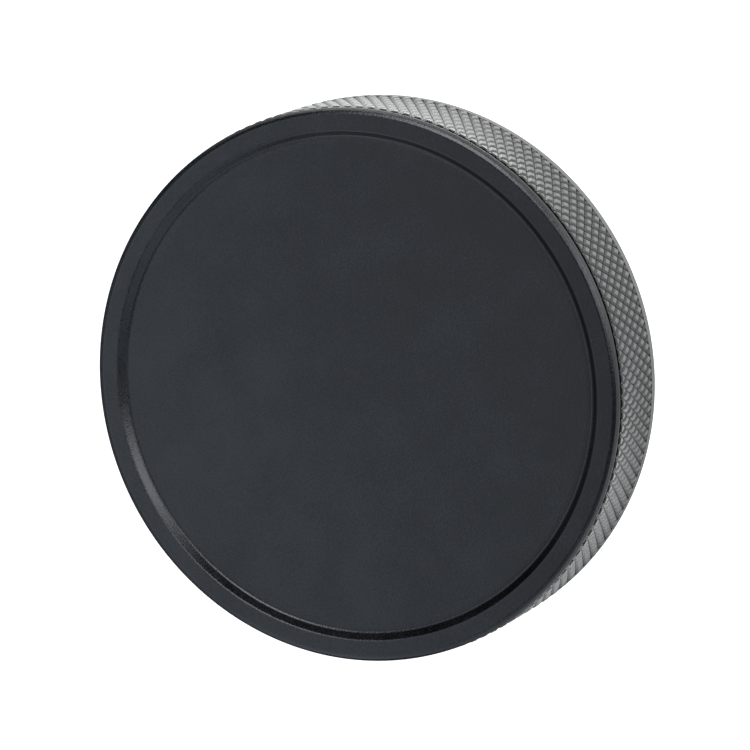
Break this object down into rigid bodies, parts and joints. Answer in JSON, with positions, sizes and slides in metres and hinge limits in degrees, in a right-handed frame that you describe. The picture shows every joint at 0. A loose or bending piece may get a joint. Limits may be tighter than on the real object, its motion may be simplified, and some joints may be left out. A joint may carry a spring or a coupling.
{
  "type": "hockey puck",
  "caption": "Slim round hockey puck: a black rubber disc with a shallow recessed face inside a raised rim on both sides and a diamond-knurled edge band.",
  "frame": {"origin": "centre of the rear rim's flat face, the face the puck rests on", "axes": "+Z along the puck's axis, out of its front face; X and Y point anywhere round the edge"},
  "size_m": [0.0762, 0.0762, 0.0152],
  "materials": {
    "core_rubber": "matte vulcanised rubber, hidden inside",
    "band_rubber": "semi-gloss moulded black rubber, diamond knurled",
    "rim_rubber": "satin black rubber, smooth",
    "facing_rubber": "matte charcoal black rubber, fine grain"
  },
  "bodies": {
    "root": {"core": "core_rubber", "knurled_band": "band_rubber", "front_rim": "rim_rubber", "rear_rim": "rim_rubber", "front_face": "facing_rubber", "rear_face": "facing_rubber"}
  },
  "joints": []
}
